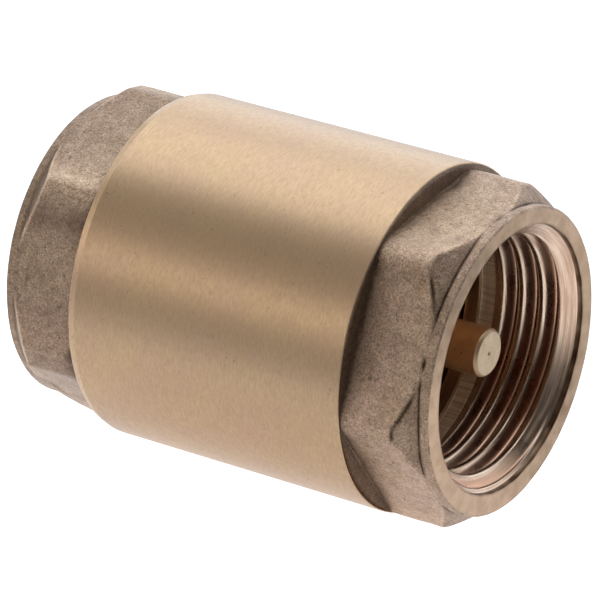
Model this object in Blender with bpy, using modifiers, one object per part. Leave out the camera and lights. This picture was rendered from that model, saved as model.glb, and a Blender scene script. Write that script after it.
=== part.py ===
"""Spring check valve, G 1/2 female both ends, as separate solids.

Metres, +X is the flow direction (inlet at -X, outlet at +X), +Z is up.
The origin is on the valve's axis, half way between its two end faces.
Each turned piece is drawn upright, as a (radius, height) outline, and is then
laid over so that its height runs along +X.
"""
import math

import bmesh
import bpy
from mathutils import Matrix

MM = 0.001

# Outside of the valve
LENGTH = 39.0 * MM              # face to face
BARREL_R = 14.0 * MM
BARREL_INLET_X = -12.4 * MM
BARREL_OUTLET_X = 12.6 * MM
BARREL_CHAMFER = 0.65 * MM
BARREL_CHAMFER_DROP = 0.2 * MM
HEX_ACROSS_FLATS = 24.4 * MM    # a cast 25 mm hexagon
HEX_HALF_SIDE = math.radians(30)
HEX_CORNER_ROUND = 1.7 * MM
HEX_CORNER_FACETS = 3
HEX_CHAMFER_SLOPE = 0.94        # radius lost for each unit of length
HEX_CLEAR = 0.65                # of its width, a radius outside all its corners
COLLAR_R = 12.3 * MM
RIM_EDGE = 0.2 * MM
COLLAR_LENGTH = 0.85 * MM
OUTLET_HEX_TURN = 6.0           # degrees from +Y towards +Z to the first corner
INLET_HEX_TURN = 18.0

# G 1/2 pipe thread, 14 threads to the inch
THREAD_PITCH = 25.4 / 14 * MM
THREAD_MAJOR_R = 20.955 / 2 * MM
THREAD_BORE_R = 9.45 * MM
THREAD_FLANK = math.radians(27.5)
THREAD_ROOT_HALF = 0.17 * MM
MOUTH_R = 10.7 * MM
THREAD_DEPTH = 7.9 * MM
THREAD_START = math.radians(181.7)
RELIEF_R = 10.75 * MM
RELIEF_LENGTH = 1.3 * MM
THREAD_RUN_OUT = 0.55 * RELIEF_LENGTH
CUTTER_OVERLAP = 0.5 * MM

# Chamber in the body, from the guide's stop to the screwed joint
STOP_R = 10.4 * MM
STOP_X = 9.1 * MM
CHAMBER_R = 11.5 * MM
JOINT_BORE_R = 12.25 * MM
JOINT_X = -6.5 * MM

# Connector's neck, throat and seat
GAP = 0.2 * MM                  # between pieces that touch in the real valve
RUNNING_GAP = 0.1 * MM          # round the spindle in its guide
NECK_R = JOINT_BORE_R - GAP
THROAT_R = 7.25 * MM
THROAT_LEAD = 0.5 * MM
SEAT_LIP_R = 8.3 * MM
SEAT_LIP_SLOPE = 1.0 * MM
SEAT_X = -5.2 * MM
O_RING_WIRE_R = 0.6 * MM
O_RING_R = NECK_R - O_RING_WIRE_R
O_RING_PLAY = 0.3 * MM
O_RING_FACETS = 8
O_RING_X = -8.7 * MM

# Poppet: spindle, disc, rubber, washer and nut
LIFT = 4.0 * MM
STEM_R = 1.95 * MM
STEM_TIP_X = 17.45 * MM
STEM_EDGE = 0.25 * MM
STEM_SCREW_R = 1.5 * MM
SCREW_PROUD = 0.8 * MM          # of the spindle's screwed end, past the nut
COLLAR_X = 0.2 * MM             # inlet side of the spindle's collar
STEM_COLLAR_R = 3.0 * MM
STEM_COLLAR_LENGTH = 1.0 * MM
DISC_R = 9.3 * MM
DISC_X = -1.6 * MM              # outlet side of the disc's plate
DISC_PLATE = 1.2 * MM
DISC_EDGE = 0.4 * MM
DISC_RIM_BACK = 0.6 * MM        # from the rubber's face to the disc's rim
SEAL_R = 8.8 * MM
SEAL_THICK = 2.0 * MM
RETAINER_R = 5.6 * MM
RETAINER_THICK = 0.9 * MM
NUT_ACROSS_FLATS = 5.5 * MM
NUT_THICK = 2.0 * MM
NUT_TURN = 30.0

# Guide and spring
GUIDE_RING_R = CHAMBER_R - GAP
GUIDE_RING_INNER_R = 9.6 * MM
GUIDE_RING_THICK = 2.3 * MM
GUIDE_EDGE = 0.3 * MM
GUIDE_HUB_R = 3.5 * MM
GUIDE_HUB_EDGE = 0.4 * MM
GUIDE_ARM_WIDTH = 2.2 * MM
GUIDE_ARM_INSET = 0.3 * MM      # from the ring's two sides
GUIDE_ARMS = 3
FIRST_ARM = math.pi / 2
HUB_INLET_X = COLLAR_X + STEM_COLLAR_LENGTH + LIFT + GAP
HUB_LENGTH = 4.6 * MM
SPRING_R = 4.5 * MM
SPRING_WIRE_R = 0.3 * MM
SPRING_TURNS = 5.0
SPRING_CLOSED_TURNS = 1         # at each end
SPRING_CLOSED_GAP = 0.1 * MM
SPRING_POINTS_PER_TURN = 20

SEGMENTS = 48                   # facets round a full turn
STEM_SEGMENTS = 32
NUT_HOLE_SEGMENTS = 24
HALF_FACET = math.pi / SEGMENTS
MERGE_DISTANCE = 0.01 * MM
SMOOTH_BELOW = math.radians(25)
AXIS_TO_X = Matrix.Rotation(math.pi / 2, 4, "Y") @ Matrix.Rotation(HALF_FACET, 4, "Z")
FACE_ABOUT = Matrix.Rotation(math.pi, 4, "Z")


def clear_scene():
    for obj in list(bpy.data.objects):
        bpy.data.objects.remove(obj, do_unlink=True)


def new_collection(name):
    collection = bpy.data.collections.new(name)
    bpy.context.scene.collection.children.link(collection)
    return collection


def material(name, colour, roughness, metallic):
    mat = bpy.data.materials.new(name)
    mat.use_nodes = True
    shader = mat.node_tree.nodes["Principled BSDF"]
    shader.inputs["Base Color"].default_value = (*colour, 1.0)
    shader.inputs["Roughness"].default_value = roughness
    shader.inputs["Metallic"].default_value = metallic
    return mat


def new_object(name, mesh, collection):
    obj = bpy.data.objects.new(name, mesh)
    collection.objects.link(obj)
    return obj


def apply_modifiers(obj):
    """Replace an object's mesh by what its modifiers make of it."""
    graph = bpy.context.evaluated_depsgraph_get()
    mesh = bpy.data.meshes.new_from_object(obj.evaluated_get(graph))
    obj.modifiers.clear()
    obj.data = mesh


def turned(name, outline, collection, closed=True, segments=SEGMENTS):
    """Spin an outline of (radius, height) points round Z and lay it along X.

    The outline runs down the outer side from the top.  A closed outline makes a
    ring; an open one starts and ends on the axis and makes a solid piece.
    """
    mesh = bpy.data.meshes.new(name)
    bm = bmesh.new()
    points = [bm.verts.new((radius, 0.0, height)) for radius, height in outline]
    for here, there in zip(points, points[1:]):
        bm.edges.new((here, there))
    if closed:
        bm.edges.new((points[-1], points[0]))
    bm.to_mesh(mesh)
    bm.free()
    obj = new_object(name, mesh, collection)
    screw = obj.modifiers.new("turn", "SCREW")
    screw.axis = "Z"
    screw.angle = 2 * math.pi
    screw.steps = segments
    screw.render_steps = segments
    screw.use_merge_vertices = True
    screw.merge_threshold = MERGE_DISTANCE
    screw.use_smooth_shade = False
    apply_modifiers(obj)
    obj.data.transform(AXIS_TO_X)
    return obj


def hexagonal(name, across_flats, start, end, turn, collection, corner_round=0.0):
    """A hexagonal prism along X, with its first corner turned from +Y to +Z."""
    mesh = bpy.data.meshes.new(name)
    bm = bmesh.new()
    corner = across_flats / math.sqrt(3)
    bmesh.ops.create_cone(
        bm, cap_ends=True, segments=6, radius1=corner, radius2=corner, depth=end - start
    )
    if corner_round:
        long_edges = [e for e in bm.edges if abs(e.verts[0].co.z - e.verts[1].co.z) > MM]
        bmesh.ops.bevel(
            bm, geom=long_edges, offset=corner_round * math.tan(HEX_HALF_SIDE),
            offset_type="OFFSET", segments=HEX_CORNER_FACETS, profile=0.5, affect="EDGES",
        )
    bm.to_mesh(mesh)
    bm.free()
    lay = Matrix.Rotation(math.pi / 2, 4, "Y")
    spin = Matrix.Rotation(math.radians(turn), 4, "X")
    mesh.transform(Matrix.Translation(((start + end) / 2, 0, 0)) @ spin @ lay)
    return new_object(name, mesh, collection)


def block(name, size, centre, turn, collection):
    """A box, placed and then turned round X."""
    mesh = bpy.data.meshes.new(name)
    bm = bmesh.new()
    bmesh.ops.create_cube(bm, size=1.0)
    bm.to_mesh(mesh)
    bm.free()
    scale = Matrix.Diagonal((*size, 1.0))
    place = Matrix.Translation(centre)
    mesh.transform(Matrix.Rotation(turn, 4, "X") @ place @ scale)
    return new_object(name, mesh, collection)


def cut(target, tool, operation):
    """Join, subtract or intersect a tool; the tool stays as a hidden guide."""
    tool.hide_render = True
    tool.display_type = "WIRE"
    boolean = target.modifiers.new(operation.lower(), "BOOLEAN")
    boolean.operation = operation
    boolean.solver = "EXACT"
    boolean.object = tool
    apply_modifiers(target)


def thread_cutter(name, first_x, last_x, collection):
    """A right-hand helical ridge that cuts an internal pipe thread along X."""
    inner_r = THREAD_BORE_R - CUTTER_OVERLAP
    half = THREAD_ROOT_HALF + (THREAD_MAJOR_R - inner_r) * math.tan(THREAD_FLANK)
    tooth = [(THREAD_MAJOR_R, THREAD_ROOT_HALF), (THREAD_MAJOR_R, -THREAD_ROOT_HALF),
             (inner_r, -half), (inner_r, half)]
    turns = (last_x - first_x) / THREAD_PITCH
    steps = round(turns * SEGMENTS)
    mesh = bpy.data.meshes.new(name)
    bm = bmesh.new()
    rings = []
    for step in range(steps + 1):
        angle = 2 * math.pi * step / SEGMENTS + THREAD_START
        height = first_x + THREAD_PITCH * step / SEGMENTS
        ring = [
            bm.verts.new((height + along, radius * math.cos(angle), radius * math.sin(angle)))
            for radius, along in tooth
        ]
        rings.append(ring)
    for ring, following in zip(rings, rings[1:]):
        for k in range(len(tooth)):
            after = (k + 1) % len(tooth)
            bm.faces.new((ring[k], ring[after], following[after], following[k]))
    bm.faces.new(rings[0])
    bm.faces.new(rings[-1])
    bmesh.ops.recalc_face_normals(bm, faces=bm.faces)
    bm.to_mesh(mesh)
    bm.free()
    return new_object(name, mesh, collection)


def hex_end(name, turn, inner_x, collection, cutters):
    """A wrench hexagon at the +X end, with its corner chamfer and round collar."""
    face = LENGTH / 2
    collar_x = face - COLLAR_LENGTH
    wide_r = HEX_ACROSS_FLATS * HEX_CLEAR
    cone_start = collar_x - (wide_r - COLLAR_R) / HEX_CHAMFER_SLOPE
    end = hexagonal(
        name, HEX_ACROSS_FLATS, inner_x, face + MM, turn, collection, HEX_CORNER_ROUND
    )
    envelope = turned(
        name + "_envelope",
        [(0, face), (COLLAR_R - RIM_EDGE, face), (COLLAR_R, face - RIM_EDGE),
         (COLLAR_R, collar_x), (wide_r, cone_start), (wide_r, inner_x - MM), (0, inner_x - MM)],
        cutters, closed=False,
    )
    cut(end, envelope, "INTERSECT")
    return end


def socket_outline(face, inner_points):
    """Outline of the mouth, thread bore and relief, top to bottom, then on inwards."""
    thread_x = face - THREAD_DEPTH
    relief_x = thread_x - RELIEF_LENGTH
    ease = RELIEF_R - THREAD_BORE_R
    return [
        (0, face + MM), (MOUTH_R + MM, face + MM), (THREAD_BORE_R, face + THREAD_BORE_R - MOUTH_R),
        (THREAD_BORE_R, thread_x + ease / 2), (RELIEF_R, thread_x), (RELIEF_R, relief_x),
        *inner_points,
    ]


def make_body(parts, cutters, brass):
    face = LENGTH / 2
    relief_x = face - THREAD_DEPTH - RELIEF_LENGTH
    body = turned(
        "valve_body",
        [(0, BARREL_OUTLET_X), (BARREL_R, BARREL_OUTLET_X),
         (BARREL_R, BARREL_INLET_X + BARREL_CHAMFER),
         (BARREL_R - BARREL_CHAMFER_DROP, BARREL_INLET_X), (0, BARREL_INLET_X)],
        parts, closed=False,
    )
    overlap_x = BARREL_OUTLET_X - MM
    hexagon = hex_end("outlet_hexagon", OUTLET_HEX_TURN, overlap_x, cutters, cutters)
    cut(body, hexagon, "UNION")
    bore = turned(
        "body_bore",
        socket_outline(face, [
            (STOP_R, relief_x), (STOP_R, STOP_X), (CHAMBER_R, STOP_X), (CHAMBER_R, JOINT_X),
            (JOINT_BORE_R, JOINT_X), (JOINT_BORE_R, BARREL_INLET_X - MM),
            (0, BARREL_INLET_X - MM),
        ]),
        cutters, closed=False,
    )
    cut(body, bore, "DIFFERENCE")
    thread_end_x = relief_x + THREAD_RUN_OUT
    thread = thread_cutter("outlet_thread", thread_end_x, face + THREAD_PITCH / 2, cutters)
    cut(body, thread, "DIFFERENCE")
    body.data.materials.append(brass)
    return body


def make_connector(parts, cutters, brass):
    """Drawn with its mouth towards +X like the outlet, then faced about."""
    face = LENGTH / 2
    relief_x = face - THREAD_DEPTH - RELIEF_LENGTH
    hex_x = -BARREL_INLET_X + GAP
    neck_end = -JOINT_X + GAP
    lip_x = -SEAT_X
    groove_half = O_RING_WIRE_R + O_RING_PLAY
    groove_r = O_RING_R - O_RING_WIRE_R - GAP
    connector = hex_end("inlet_connector", 180 - INLET_HEX_TURN, hex_x, parts, cutters)
    neck = turned(
        "connector_neck",
        [(0, hex_x + MM), (NECK_R, hex_x + MM),
         (NECK_R, -O_RING_X + groove_half), (groove_r, -O_RING_X + groove_half),
         (groove_r, -O_RING_X - groove_half), (NECK_R, -O_RING_X - groove_half),
         (NECK_R, neck_end), (SEAT_LIP_R + SEAT_LIP_SLOPE, neck_end), (SEAT_LIP_R, lip_x),
         (0, lip_x)],
        cutters, closed=False,
    )
    cut(connector, neck, "UNION")
    bore = turned(
        "connector_bore",
        socket_outline(face, [
            (THROAT_R, relief_x - THROAT_LEAD), (THROAT_R, lip_x - MM), (0, lip_x - MM),
        ]),
        cutters, closed=False,
    )
    cut(connector, bore, "DIFFERENCE")
    thread_end_x = relief_x + THREAD_RUN_OUT
    thread = thread_cutter("inlet_thread", thread_end_x, face + THREAD_PITCH / 2, cutters)
    cut(connector, thread, "DIFFERENCE")
    connector.data.transform(FACE_ABOUT)
    connector.data.materials.append(brass)
    return connector


def make_guide(parts, cutters, brass):
    ring_outlet_x = STOP_X - GAP
    ring_inlet_x = ring_outlet_x - GUIDE_RING_THICK
    guide = turned(
        "stem_guide",
        [(GUIDE_RING_INNER_R + GUIDE_EDGE, ring_outlet_x), (GUIDE_RING_R, ring_outlet_x),
         (GUIDE_RING_R, ring_inlet_x), (GUIDE_RING_INNER_R, ring_inlet_x),
         (GUIDE_RING_INNER_R, ring_outlet_x - GUIDE_EDGE)],
        parts,
    )
    arm_length = (GUIDE_RING_INNER_R + GUIDE_RING_R) / 2 - GUIDE_HUB_R / 2
    arm_r = (GUIDE_RING_INNER_R + GUIDE_RING_R) / 2 - arm_length / 2
    arm_thick = GUIDE_RING_THICK - 2 * GUIDE_ARM_INSET
    arm_x = (ring_inlet_x + ring_outlet_x) / 2
    for number in range(GUIDE_ARMS):
        turn = FIRST_ARM + number * 2 * math.pi / GUIDE_ARMS
        arm = block(
            f"guide_arm_{number + 1}", (arm_thick, arm_length, GUIDE_ARM_WIDTH),
            (arm_x, arm_r, 0), turn, cutters,
        )
        cut(guide, arm, "UNION")
    hub_outlet_x = HUB_INLET_X + HUB_LENGTH
    hub = turned(
        "guide_hub",
        [(0, hub_outlet_x), (GUIDE_HUB_R - GUIDE_HUB_EDGE, hub_outlet_x),
         (GUIDE_HUB_R, hub_outlet_x - GUIDE_HUB_EDGE), (GUIDE_HUB_R, HUB_INLET_X),
         (0, HUB_INLET_X)],
        cutters, closed=False,
    )
    cut(guide, hub, "UNION")
    bore = turned(
        "guide_bore",
        [(0, LENGTH / 2), (STEM_R + RUNNING_GAP, LENGTH / 2), (STEM_R + RUNNING_GAP, 0), (0, 0)],
        cutters, closed=False,
    )
    cut(guide, bore, "DIFFERENCE")
    guide.data.materials.append(brass)
    return guide


def make_stem(parts, brass):
    screw_end_x = seal_face_x() - 2 * GAP - RETAINER_THICK - NUT_THICK - SCREW_PROUD
    stem = turned(
        "stem",
        [(0, STEM_TIP_X - STEM_EDGE), (STEM_EDGE, STEM_TIP_X), (STEM_R - STEM_EDGE, STEM_TIP_X),
         (STEM_R, STEM_TIP_X - STEM_EDGE), (STEM_R, COLLAR_X + STEM_COLLAR_LENGTH),
         (STEM_COLLAR_R, COLLAR_X + STEM_COLLAR_LENGTH), (STEM_COLLAR_R, COLLAR_X),
         (STEM_SCREW_R, COLLAR_X), (STEM_SCREW_R, screw_end_x),
         (STEM_SCREW_R - STEM_EDGE, screw_end_x - STEM_EDGE), (0, screw_end_x - STEM_EDGE)],
        parts, closed=False, segments=STEM_SEGMENTS,
    )
    stem.data.materials.append(brass)
    return stem


def seal_face_x():
    """The rubber's inlet side, just clear of the seat."""
    return SEAT_X + GAP


def make_disc(parts, brass):
    bore_r = STEM_SCREW_R + GAP
    plate_x = DISC_X - DISC_PLATE
    rim_x = seal_face_x() + DISC_RIM_BACK
    rim_inner_r = SEAL_R + GAP
    disc = turned(
        "valve_disc",
        [(STEM_COLLAR_R, COLLAR_X - GAP), (STEM_COLLAR_R + DISC_EDGE, DISC_X),
         (DISC_R - DISC_EDGE, DISC_X), (DISC_R, DISC_X - DISC_EDGE), (DISC_R, rim_x),
         (rim_inner_r, rim_x), (rim_inner_r, plate_x), (bore_r, plate_x),
         (bore_r, COLLAR_X - GAP)],
        parts,
    )
    disc.data.materials.append(brass)
    return disc


def make_seal(parts, rubber):
    top = DISC_X - DISC_PLATE - GAP
    seal = turned(
        "disc_seal",
        [(SEAL_R, top), (SEAL_R, seal_face_x()), (STEM_SCREW_R + GAP, seal_face_x()),
         (STEM_SCREW_R + GAP, top)],
        parts,
    )
    seal.data.materials.append(rubber)
    return seal


def make_retainer(parts, brass):
    top = seal_face_x() - GAP
    washer = turned(
        "seal_retainer",
        [(RETAINER_R, top), (RETAINER_R, top - RETAINER_THICK / 2),
         (RETAINER_R - RETAINER_THICK / 2, top - RETAINER_THICK),
         (STEM_SCREW_R + GAP, top - RETAINER_THICK), (STEM_SCREW_R + GAP, top)],
        parts,
    )
    washer.data.materials.append(brass)
    return washer


def make_nut(parts, cutters, steel):
    top = seal_face_x() - 2 * GAP - RETAINER_THICK
    nut = hexagonal("retainer_nut", NUT_ACROSS_FLATS, top - NUT_THICK, top, NUT_TURN, parts)
    hole = turned(
        "nut_hole",
        [(0, top + MM), (STEM_SCREW_R + GAP, top + MM),
         (STEM_SCREW_R + GAP, top - NUT_THICK - MM), (0, top - NUT_THICK - MM)],
        cutters, closed=False, segments=NUT_HOLE_SEGMENTS,
    )
    cut(nut, hole, "DIFFERENCE")
    nut.data.materials.append(steel)
    return nut


def make_o_ring(parts, rubber):
    bpy.ops.mesh.primitive_torus_add(
        major_radius=O_RING_R, minor_radius=O_RING_WIRE_R, major_segments=SEGMENTS,
        minor_segments=O_RING_FACETS, location=(0, 0, 0),
    )
    ring = bpy.context.active_object
    ring.name = "joint_o_ring"
    ring.data.transform(Matrix.Translation((O_RING_X, 0, 0)) @ AXIS_TO_X)
    for owner in list(ring.users_collection):
        owner.objects.unlink(ring)
    parts.objects.link(ring)
    ring.data.materials.append(rubber)
    return ring


def make_spring(parts, steel):
    """A compression spring whose end coils close up."""
    inlet_x = DISC_X + GAP + SPRING_WIRE_R
    outlet_x = STOP_X - GAP - GUIDE_RING_THICK - SPRING_WIRE_R
    count = round(SPRING_TURNS * SPRING_POINTS_PER_TURN)
    curve = bpy.data.curves.new("spring", "CURVE")
    curve.dimensions = "3D"
    curve.bevel_depth = SPRING_WIRE_R
    curve.bevel_resolution = 2
    curve.use_fill_caps = True
    wire = curve.splines.new("POLY")
    wire.points.add(count)
    closed_pitch = 2 * SPRING_WIRE_R + SPRING_CLOSED_GAP
    open_turns = SPRING_TURNS - 2 * SPRING_CLOSED_TURNS
    closed_length = 2 * SPRING_CLOSED_TURNS * closed_pitch
    open_pitch = (outlet_x - inlet_x - closed_length) / open_turns
    x = inlet_x
    for number in range(count + 1):
        turns = number / SPRING_POINTS_PER_TURN
        angle = 2 * math.pi * turns
        wire.points[number].co = (x, SPRING_R * math.cos(angle), SPRING_R * math.sin(angle), 1.0)
        at_end = turns < SPRING_CLOSED_TURNS or turns >= SPRING_TURNS - SPRING_CLOSED_TURNS
        x += (closed_pitch if at_end else open_pitch) / SPRING_POINTS_PER_TURN
    spring = new_object("spring_wire", curve, parts)
    graph = bpy.context.evaluated_depsgraph_get()
    mesh = bpy.data.meshes.new_from_object(spring.evaluated_get(graph))
    bm = bmesh.new()
    bm.from_mesh(mesh)
    bmesh.ops.remove_doubles(bm, verts=bm.verts, dist=MERGE_DISTANCE)
    bmesh.ops.recalc_face_normals(bm, faces=bm.faces)
    bm.to_mesh(mesh)
    bm.free()
    coil = new_object("spring", mesh, parts)
    coil.matrix_world = spring.matrix_world
    bpy.data.objects.remove(spring, do_unlink=True)
    coil.data.materials.clear()
    coil.data.materials.append(steel)
    return coil


def shade(obj):
    obj.data.shade_smooth()
    obj.data.set_sharp_from_angle(angle=SMOOTH_BELOW)


def main():
    clear_scene()
    parts = new_collection("check_valve")
    cutters = new_collection("cutters")
    cast_brass = material("brass_cast", (0.46, 0.33, 0.20), 0.45, 1.0)
    turned_brass = material("brass_turned", (0.62, 0.43, 0.22), 0.25, 1.0)
    steel = material("stainless_steel", (0.60, 0.60, 0.62), 0.25, 1.0)
    rubber = material("nitrile_rubber", (0.02, 0.02, 0.02), 0.7, 0.0)
    pieces = [
        make_body(parts, cutters, cast_brass),
        make_connector(parts, cutters, cast_brass),
        make_o_ring(parts, rubber),
        make_guide(parts, cutters, turned_brass),
        make_stem(parts, turned_brass),
        make_disc(parts, turned_brass),
        make_seal(parts, rubber),
        make_retainer(parts, turned_brass),
        make_nut(parts, cutters, steel),
        make_spring(parts, steel),
    ]
    for piece in pieces:
        shade(piece)


main()
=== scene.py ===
"""Looks of a brass spring check valve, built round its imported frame.

Metres, +X is the flow direction, the origin is on the valve's axis.  Every turned
piece is a skin: rings of points round the X axis, listed from one (x, radius)
outline, whose radius may also depend on the angle, as on a hexagon or a thread.
An outline runs towards +X on its outer side and back on its inner side.
"""
import math

import bmesh
import bpy
import numpy as np
from mathutils import Matrix, Vector, noise


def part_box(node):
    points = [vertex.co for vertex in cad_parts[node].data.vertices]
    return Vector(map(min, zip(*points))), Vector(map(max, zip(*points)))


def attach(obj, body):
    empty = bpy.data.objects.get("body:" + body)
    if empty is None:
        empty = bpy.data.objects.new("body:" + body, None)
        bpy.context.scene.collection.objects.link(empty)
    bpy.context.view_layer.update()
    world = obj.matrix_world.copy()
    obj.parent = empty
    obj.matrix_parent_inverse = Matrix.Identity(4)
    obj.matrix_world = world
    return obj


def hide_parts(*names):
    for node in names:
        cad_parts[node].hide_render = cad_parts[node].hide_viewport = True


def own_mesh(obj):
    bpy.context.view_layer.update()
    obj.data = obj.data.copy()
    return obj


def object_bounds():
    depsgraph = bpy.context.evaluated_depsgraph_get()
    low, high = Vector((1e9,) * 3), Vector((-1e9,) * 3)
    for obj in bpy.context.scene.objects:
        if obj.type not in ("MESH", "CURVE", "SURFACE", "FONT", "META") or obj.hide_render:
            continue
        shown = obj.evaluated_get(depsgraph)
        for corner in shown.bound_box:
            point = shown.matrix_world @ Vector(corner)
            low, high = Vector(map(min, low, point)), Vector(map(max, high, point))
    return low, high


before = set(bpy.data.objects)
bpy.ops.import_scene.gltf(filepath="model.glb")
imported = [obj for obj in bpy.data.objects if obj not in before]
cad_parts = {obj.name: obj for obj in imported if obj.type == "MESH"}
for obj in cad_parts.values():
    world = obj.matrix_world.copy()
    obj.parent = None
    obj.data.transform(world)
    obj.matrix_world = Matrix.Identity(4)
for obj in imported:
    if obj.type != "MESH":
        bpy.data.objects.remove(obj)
CAD_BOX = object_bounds()

MM = 0.001
TURN = 2 * math.pi
SIXTH = TURN / 6

# Driving sizes, read from the frame
BODY_LOW, BODY_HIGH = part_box("valve_body")
SPRING_LOW, SPRING_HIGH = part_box("spring")
STEM_LOW, STEM_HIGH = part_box("stem")
GUIDE_LOW, GUIDE_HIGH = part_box("stem_guide")
DISC_LOW, DISC_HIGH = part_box("valve_disc")
SEAL_LOW, SEAL_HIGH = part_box("disc_seal")
WASHER_LOW, WASHER_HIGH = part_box("seal_retainer")
NUT_LOW, NUT_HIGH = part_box("retainer_nut")
O_RING_LOW, O_RING_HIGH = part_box("joint_o_ring")

FACE_X = BODY_HIGH.x
BARREL_INLET_X = BODY_LOW.x
BARREL_R = BODY_HIGH.z

# Outside, as the frame's solids have it
BARREL_OUTLET_X = FACE_X - 6.9 * MM
BARREL_CHAMFER = 0.65 * MM
BARREL_CHAMFER_DROP = 0.2 * MM
SHOULDER_EDGE = 0.10 * MM
FLAT_R = 12.2 * MM              # from the axis to a hexagon's flat
HEX_CORNER_ROUND = 1.7 * MM
HEX_BLEND = 0.15 * MM           # where a hexagon's corner meets its worn-down limit
CHAMFER_SLOPE = 0.94            # radius lost for each unit of length
CHAMFER_BLEND = 0.12 * MM
FLATS_END = 2.9 * MM            # from the face, where the plain flats' rings end
CHAMFER_REACH = 2.8 * MM        # from the face, where the chamfers' rings start
COLLAR_R = 12.3 * MM
COLLAR_LENGTH = 0.85 * MM
RIM_EDGE = 0.14 * MM
JUNCTION = 0.03 * MM            # between the shoulder and the hexagon
MACHINED_ROUND = 0.05 * MM      # of a machined edge
SOFT_ROUND = 0.1 * MM           # of a broken edge

# Socket: countersunk mouth, pipe thread, relief
PITCH = 25.4 / 14 * MM
MAJOR_R = 20.955 / 2 * MM
CREST_R = 9.5 * MM
FLANK = math.radians(27.5)
ROOT_HALF = 0.17 * MM
ROOT_ROUND = 0.45 * MM
CREST_ROUND = 0.30 * MM
MOUTH_R = 10.7 * MM
MOUTH_STEP = 0.42 * MM          # a short straight step before the countersink
MOUTH_SLOPE = 1.28
FACE_INNER_R = MOUTH_R + 0.4 * MM
THREAD_DEPTH = 7.9 * MM
THREAD_START = math.radians(181.7)
RELIEF_R = 10.75 * MM
RELIEF_LENGTH = 1.3 * MM
RELIEF_X = FACE_X - THREAD_DEPTH - RELIEF_LENGTH
THREAD_END_X = RELIEF_X + 0.55 * RELIEF_LENGTH

# Inside of the body and of the connector
GAP = 0.2 * MM
STOP_R = 10.4 * MM
STOP_X = 9.1 * MM
CHAMBER_R = 11.5 * MM
JOINT_BORE_R = 12.25 * MM
JOINT_X = -6.5 * MM
NECK_R = JOINT_BORE_R - GAP
THROAT_R = 7.25 * MM
THROAT_LEAD = 0.5 * MM
SEAT_LIP_R = 8.3 * MM
SEAT_LIP_SLOPE = 1.0 * MM
SEAT_X = -5.2 * MM
O_RING_X = (O_RING_LOW.x + O_RING_HIGH.x) / 2
O_RING_WIRE_R = (O_RING_HIGH.x - O_RING_LOW.x) / 2
O_RING_R = NECK_R - O_RING_WIRE_R
GROOVE_HALF = 0.9 * MM
GROOVE_R = 10.65 * MM
TOUCH = 0.02 * MM

# Poppet, guide and spring
STEM_R = 1.95 * MM
STEM_EDGE = 0.25 * MM
STEM_COLLAR_R = STEM_HIGH.z
STEM_COLLAR_X = 0.2 * MM
STEM_COLLAR_LENGTH = 1.0 * MM
PIP_R = 0.20 * MM
PIP_DEPTH = 0.12 * MM
SCREW_R = 1.5 * MM
SCREW_PITCH = 0.5 * MM
SCREW_DEPTH = 0.13 * MM
BORE_R = SCREW_R + GAP
DISC_X = -1.6 * MM
DISC_EDGE = 0.4 * MM
DISC_PLATE = 1.2 * MM
NUT_FLAT_R = 2.75 * MM
NUT_CORNER_ROUND = 0.1 * MM
GUIDE_RING_X = STOP_X - GAP     # outlet side of the guide's ring
GUIDE_RING_THICK = 2.3 * MM
GUIDE_RING_INNER_R = 9.6 * MM
GUIDE_HUB_R = 3.5 * MM
GUIDE_EDGE = 0.3 * MM
GUIDE_BORE_R = STEM_R + 0.1 * MM
GUIDE_ARM_WIDTH = 2.2 * MM
GUIDE_ARMS = 3
FIRST_ARM = math.pi / 2
SPRING_WIRE_R = 0.3 * MM
SPRING_R = SPRING_HIGH.z - SPRING_WIRE_R
SPRING_TURNS = 5
SPRING_CLOSED_PITCH = 0.7 * MM

STEPS = 360                     # points round a full turn of the big pieces
SMALL_STEPS = 128
GUIDE_STEPS = 240
WIRE_STEPS = 14
COIL_STEPS = 60                 # along one turn of the spring
ARC_STEPS = 4                   # along one rounded corner of an outline
SOCKET_RINGS = 165
SCREW_RINGS = 150

# Material slots of the two cast shells
CAST, TURNED, FACED, THREADED, CHATTERED = range(5)

SPREAD_TURN = 0.25              # reflections spread across turning marks, not along them


# ---------------------------------------------------------------- mesh helpers

def rounded(points):
    """A dense (x, radius) outline from corners of (x, radius, rounding)."""
    outline = []
    for number, (x, r, rounding) in enumerate(points):
        here = np.array((x, r))
        if rounding == 0 or number in (0, len(points) - 1):
            outline.append(here)
            continue
        back = np.array(points[number - 1][:2]) - here
        ahead = np.array(points[number + 1][:2]) - here
        back_length, ahead_length = np.linalg.norm(back), np.linalg.norm(ahead)
        back, ahead = back / back_length, ahead / ahead_length
        bend = math.pi - math.acos(float(np.clip(back @ ahead, -1, 1)))
        reach = min(rounding * math.tan(bend / 2), 0.45 * back_length, 0.45 * ahead_length)
        outline.append(here + back * min(2 * reach, 0.5 * back_length))
        for step in range(ARC_STEPS + 1):
            t = step / ARC_STEPS
            outline.append((1 - t) ** 2 * (here + back * reach) + 2 * t * (1 - t) * here
                           + t ** 2 * (here + ahead * reach))
        outline.append(here + ahead * min(2 * reach, 0.5 * ahead_length))
    return outline


def smooth_min(a, b, width):
    """The smaller of two sizes, with a soft change from one to the other."""
    h = np.clip(0.5 + 0.5 * (b - a) / width, 0, 1)
    return b + (a - b) * h - width * h * (1 - h)


def smooth_max(a, b, width):
    return -smooth_min(-a, -b, width)


def bump(distance, width):
    """1 where distance is zero, falling off on both sides."""
    return np.exp(-(distance / width) ** 2)


def angle_from(angle, centre):
    """The signed angle between two directions."""
    return (angle - centre + math.pi) % TURN - math.pi


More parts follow.
